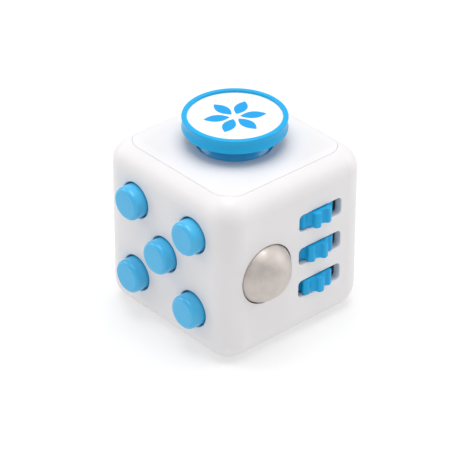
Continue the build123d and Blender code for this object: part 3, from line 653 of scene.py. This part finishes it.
def make_shell():
    """The white body: five walls with rounded rims round every hole, posts, a boss and the dish."""
    shell = rounded_block("shell_body", HALF, EDGE_RADIUS, 0, CUBE, True)
    hollow = rounded_block("hollow", INSIDE, EDGE_RADIUS - WALL, WALL, RIM_UNDERSIDE, False)
    opening = column("opening", OPENING_HALF, COVER_CORNER - COVER_LEDGE, RIM_UNDERSIDE - PAST, CUBE)
    ledge_half = COVER_HALF + COVER_GAP
    ledge = column("ledge", ledge_half, COVER_CORNER + COVER_GAP, COVER_BOTTOM, CUBE + PAST)
    combine(shell, "DIFFERENCE", [hollow, opening, ledge])
    additions = [dish_pad(), boss()]
    additions += posts("button_plate_screws", (0, 1, 0), -INSIDE, PLATE_POST)
    additions += posts("roller_bracket_screws", (-1, 0, 0), INSIDE, BRACKET_POST)
    additions += posts("ball_guide_screws", (-1, 0, 0), INSIDE, GUIDE_POST)
    additions += posts("switch_frame_screws", (1, 0, 0), -INSIDE, FRAME_POST)
    combine(shell, "UNION", additions)
    combine(shell, "DIFFERENCE", side_cutters() + [ball_cutter(), dish_cutter()])
    finish_piece(shell, "housing", "white_plastic", "cube_shell")


def clip(quarter, offset):
    """One snap clip on the cover's edge: a tongue with a hook."""
    outer = OPENING_HALF - CLIP_GAP
    inner = outer - CLIP_THICKNESS
    root = COVER_BOTTOM + CLIP_ROOT
    hook_top = RIM_UNDERSIDE - COVER_GAP
    tip = hook_top - HOOK_HEIGHT
    section = [
        (inner, root),
        (outer, root),
        (outer, hook_top),
        (outer + HOOK_REACH, hook_top),
        (outer + HOOK_REACH, tip),
        (inner, tip),
    ]
    sides = (offset - CLIP_WIDTH / 2, offset + CLIP_WIDTH / 2)
    turn = Matrix.Rotation(math.pi / 2 * quarter, 4, "Z")
    return skin("clip", [[turn @ Vector((x, y, z)) for x, z in section] for y in sides])


def collar_cutter():
    """The round hole for the joystick's collar, which opens to the top face."""
    profile = seat_profile(COLLAR_HOLE, CUBE - PIVOT.z, RIM_ROUND)
    return lathe("collar_hole", Matrix.Translation(PIVOT), profile)


def make_cover():
    """The top cover: a plate whose edge follows the cube's roundings, with clips and two posts."""
    cover = rounded_block("cover_body", HALF, EDGE_RADIUS, 0, CUBE, True)
    plate = column("plate", COVER_HALF, COVER_CORNER, COVER_BOTTOM, CUBE + PAST)
    combine(cover, "INTERSECT", [plate])
    clips = [clip(quarter, side * CLIP_OFFSET) for quarter in range(4) for side in (-1, 1)]
    hangers = posts("joystick_base_screws", (0, 0, -1), COVER_BOTTOM, BASE_POST)
    combine(cover, "UNION", clips + hangers)
    combine(cover, "DIFFERENCE", [collar_cutter()])
    finish_piece(cover, "housing", "white_plastic", "top_cover")


# ---------------------------------------------------------------- joystick cap and its mark
def band(radius, low, high):
    """The slightly hollow side of the cap, from height low to height high."""
    half = (high - low) / 2
    bend = (half**2 + CAP_BAND_HOLLOW**2) / (2 * CAP_BAND_HOLLOW)
    sweep = math.degrees(math.asin(half / bend))
    centre = (radius - CAP_BAND_HOLLOW + bend, (low + high) / 2)
    return arc(centre, bend, 180 + sweep, 180 - sweep, QUARTER_STEPS)


def make_cap():
    """The blue cap: a hollowed band between two rounded rims, round a sunk floor for the label."""
    low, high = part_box("joystick_cap")
    radius = half_size("joystick_cap").x
    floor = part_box("joystick_label")[0].z
    bore = half_size("joystick_label").x
    seat = floor - CAP_HEAD_DEPTH
    socket = low.z + CAP_SOCKET_DEPTH
    profile = [(SCREW_HOLE, socket), (CAP_SOCKET, socket), (CAP_SOCKET, low.z)]
    lower_centre = (radius - CAP_LOWER_ROUND, low.z + CAP_LOWER_ROUND)
    profile += arc(lower_centre, CAP_LOWER_ROUND, -90, 0, QUARTER_STEPS)
    band_low = low.z + CAP_LOWER_ROUND + CAP_BAND_MARGIN
    profile += band(radius, band_low, high.z - CAP_UPPER_ROUND - CAP_BAND_MARGIN)
    upper_centre = (radius - CAP_UPPER_ROUND, high.z - CAP_UPPER_ROUND)
    profile += arc(upper_centre, CAP_UPPER_ROUND, 0, 90, QUARTER_STEPS)
    inner_centre = (bore + CAP_INNER_ROUND, high.z - CAP_INNER_ROUND)
    profile += arc(inner_centre, CAP_INNER_ROUND, 90, 180, QUARTER_STEPS)
    profile += [(bore, floor), (CAP_HEAD_HOLE, floor), (CAP_HEAD_HOLE, seat), (SCREW_HOLE, seat)]
    cap = lathe("cap_body", Matrix.Identity(4), profile, ring=True)
    finish_piece(cap, "joystick", "blue_plastic", "joystick_cap")


def petal(place):
    """One flat pointed petal, from near the middle outwards."""
    half_length = (MARK_REACH - MARK_HEART) / 2
    centre = MARK_HEART + half_length
    upper = []
    for step in range(1, QUARTER_STEPS * 2):
        along = -1 + step / QUARTER_STEPS
        upper.append((centre + along * half_length, MARK_PETAL_WIDTH * (1 - along * along)))
    lower = [(x, -y) for x, y in upper]
    outline = [(centre - half_length, 0)] + lower + [(centre + half_length, 0)] + upper[::-1]
    heights = (-MARK_SUNK, MARK_THICKNESS - MARK_SUNK)
    return skin("petal", [[place @ Vector((x, y, height)) for x, y in outline] for height in heights])


def make_mark():
    """A plain printed rosette of petals, a generic mark."""
    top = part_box("joystick_label")[1].z
    origin = Matrix.Translation(Vector((0, 0, top)))
    parts = []
    for number in range(MARK_PETALS):
        parts.append(petal(origin @ Matrix.Rotation(2 * math.pi * number / MARK_PETALS, 4, "Z")))
    bm = bmesh.new()
    for part in parts:
        bm.from_mesh(part.data)
        bpy.data.objects.remove(part)
    mesh = bpy.data.meshes.new("label_mark")
    bm.to_mesh(mesh)
    bm.free()
    mark = bpy.data.objects.new("label_mark", mesh)
    bpy.context.scene.collection.objects.link(mark)
    finish_piece(mark, "joystick", "label_film")
    mark.data.materials[0] = made["mark_ink"]


# ---------------------------------------------------------------- rollers
def make_roller(name, degrees):
    """A toothed roller with bevelled ends, and a hub."""
    centre = Vector((ROLLER_AXIS.x, ROLLER_AXIS.y, middle(name).z))
    turn = math.radians(degrees + 180 / ROLLER_TEETH)
    place = Matrix.Translation(centre) @ Matrix.Rotation(turn, 4, "Z")
    half = ROLLER_HEIGHT / 2
    bevel = arc((-ROLLER_BEVEL, half - ROLLER_BEVEL), ROLLER_BEVEL, 90, 0, RIM_STEPS)
    levels = [(grow, -height) for grow, height in bevel] + list(reversed(bevel))
    roller = stack(name + "_body", place, toothed, levels)
    hub_half = half_size(name).z
    hub = cylinder("hub", place, ROLLER_HUB, -hub_half, hub_half)
    reach = hub_half + PAST
    bore = cylinder("bore", place, ROLLER_BORE, -reach, reach)
    combine(roller, "UNION", [hub])
    combine(roller, "DIFFERENCE", [bore])
    finish_piece(roller, name, "blue_plastic", name)


def dome_profile(radius, height):
    """A thin dome's closed profile, from its inner top round its rim to its outer top."""
    ball = (radius**2 + height**2) / (2 * height)
    centre = (0, height - ball)
    inner = ball - DOME_SHEET
    inner_rim = math.degrees(math.asin((ball - height) / inner))
    outer_rim = math.degrees(math.asin((ball - height) / ball))
    under = arc(centre, inner, 90, inner_rim, QUARTER_STEPS)[1:]
    over = arc(centre, ball, outer_rim, 90, QUARTER_STEPS)[:-1]
    return [(0, height - DOME_SHEET)] + under + over + [(0, height)]


def pad_profile(radius, height):
    """A rubber stud's profile: a cone with a rounded flat top."""
    shoulder = arc((PAD_TOP - PAD_ROUND, height - PAD_ROUND), PAD_ROUND, 0, 90, RIM_STEPS)
    return [(0, 0), (radius, 0)] + shoulder + [(0, height)]


def make_flexing(node, outward, profile, slot_name):
    """A dome or stud that stands on a seat and rides on the housing."""
    low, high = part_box(node)
    axis = next(index for index in range(3) if outward[index])
    height = high[axis] - low[axis]
    radius = half_size(node)[(axis + 1) % 3]
    seat = middle(node)
    seat[axis] = low[axis] if outward[axis] > 0 else high[axis]
    piece = lathe(node + "_body", face_place(outward, seat), profile(radius, height))
    finish_piece(piece, "housing", slot_name, node)
    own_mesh(piece)


def make_flexing_pieces():
    """The snap domes and rubber studs, each in place of its CAD node."""
    for node in frame["nodes"]:
        if node.startswith("click_dome_"):
            make_flexing(node, (0, -1, 0), dome_profile, "spring_steel")
        if node.startswith("silent_pad_"):
            make_flexing(node, (0, -1, 0), pad_profile, "pad_rubber")
    make_flexing("ball_click_dome", (1, 0, 0), dome_profile, "spring_steel")


# ---------------------------------------------------------------- studio
def make_camera():
    """A view from above and in front, through a long lens."""
    back = Vector((
        math.sin(CAMERA_AZIMUTH) * math.cos(CAMERA_ELEVATION),
        -math.cos(CAMERA_AZIMUTH) * math.cos(CAMERA_ELEVATION),
        math.sin(CAMERA_ELEVATION),
    ))
    level = Vector((math.cos(CAMERA_AZIMUTH), math.sin(CAMERA_AZIMUTH), 0.0))
    upward = back.cross(level)
    right = level * math.cos(CAMERA_ROLL) + upward * math.sin(CAMERA_ROLL)
    up = upward * math.cos(CAMERA_ROLL) - level * math.sin(CAMERA_ROLL)
    data = bpy.data.cameras.new("camera")
    data.lens = CAMERA_LENS
    data.sensor_width = CAMERA_SENSOR
    data.clip_start = CAMERA_NEAR
    data.clip_end = CAMERA_FAR
    camera = bpy.data.objects.new("camera", data)
    camera.matrix_world = Matrix.Translation(CAMERA_TARGET + back * CAMERA_DISTANCE) @ Matrix(
        (right, up, back)
    ).transposed().to_4x4()
    bpy.context.scene.collection.objects.link(camera)
    bpy.context.scene.camera = camera


def softbox(name, azimuth, elevation, size, power):
    """A square area light that faces the object. Azimuth is measured as the camera's is."""
    data = bpy.data.lights.new(name, "AREA")
    data.shape = "SQUARE"
    data.size = size
    data.energy = power
    light = bpy.data.objects.new(name, data)
    turn = math.radians(azimuth)
    lift = math.radians(elevation)
    level = math.cos(lift)
    away = Vector((math.sin(turn) * level, -math.cos(turn) * level, math.sin(lift)))
    light.location = Vector((0, 0, MID_Z)) + away * LIGHT_DISTANCE
    light.rotation_mode = "QUATERNION"
    light.rotation_quaternion = away.to_track_quat("Z", "Y")
    bpy.context.scene.collection.objects.link(light)


def make_studio():
    """An even white surround and four soft lights."""
    world = bpy.data.worlds.new("studio")
    bpy.context.scene.world = world
    world.use_nodes = True
    background = world.node_tree.nodes["Background"]
    background.inputs["Color"].default_value = (*PURE_WHITE, 1.0)
    background.inputs["Strength"].default_value = WORLD_STRENGTH
    for name, settings in LIGHTS.items():
        softbox(name, *settings)
    bpy.context.scene.view_settings.view_transform = "Standard"


def make_floor():
    """A pale sheet of paper that glows a little, so that it reads as white."""
    bm = bmesh.new()
    bmesh.ops.create_circle(bm, cap_ends=True, segments=FLOOR_SEGMENTS, radius=FLOOR_RADIUS)
    mesh = bpy.data.meshes.new("floor")
    bm.to_mesh(mesh)
    bm.free()
    floor = bpy.data.objects.new("floor", mesh)
    bpy.context.scene.collection.objects.link(floor)
    material, shader = new_material("floor_paper", FLOOR, FLOOR_ROUGHNESS)[:2]
    shader.inputs["Emission Color"].default_value = (*PURE_WHITE, 1.0)
    shader.inputs["Emission Strength"].default_value = FLOOR_GLOW
    mesh.materials.append(material)


make_camera()
make_studio()
make_floor()
dress_cad_nodes()
make_shell()
make_cover()
make_cap()
make_mark()
for roller_name, roller_turn in ROLLER_TURNS.items():
    make_roller(roller_name, roller_turn)
make_flexing_pieces()
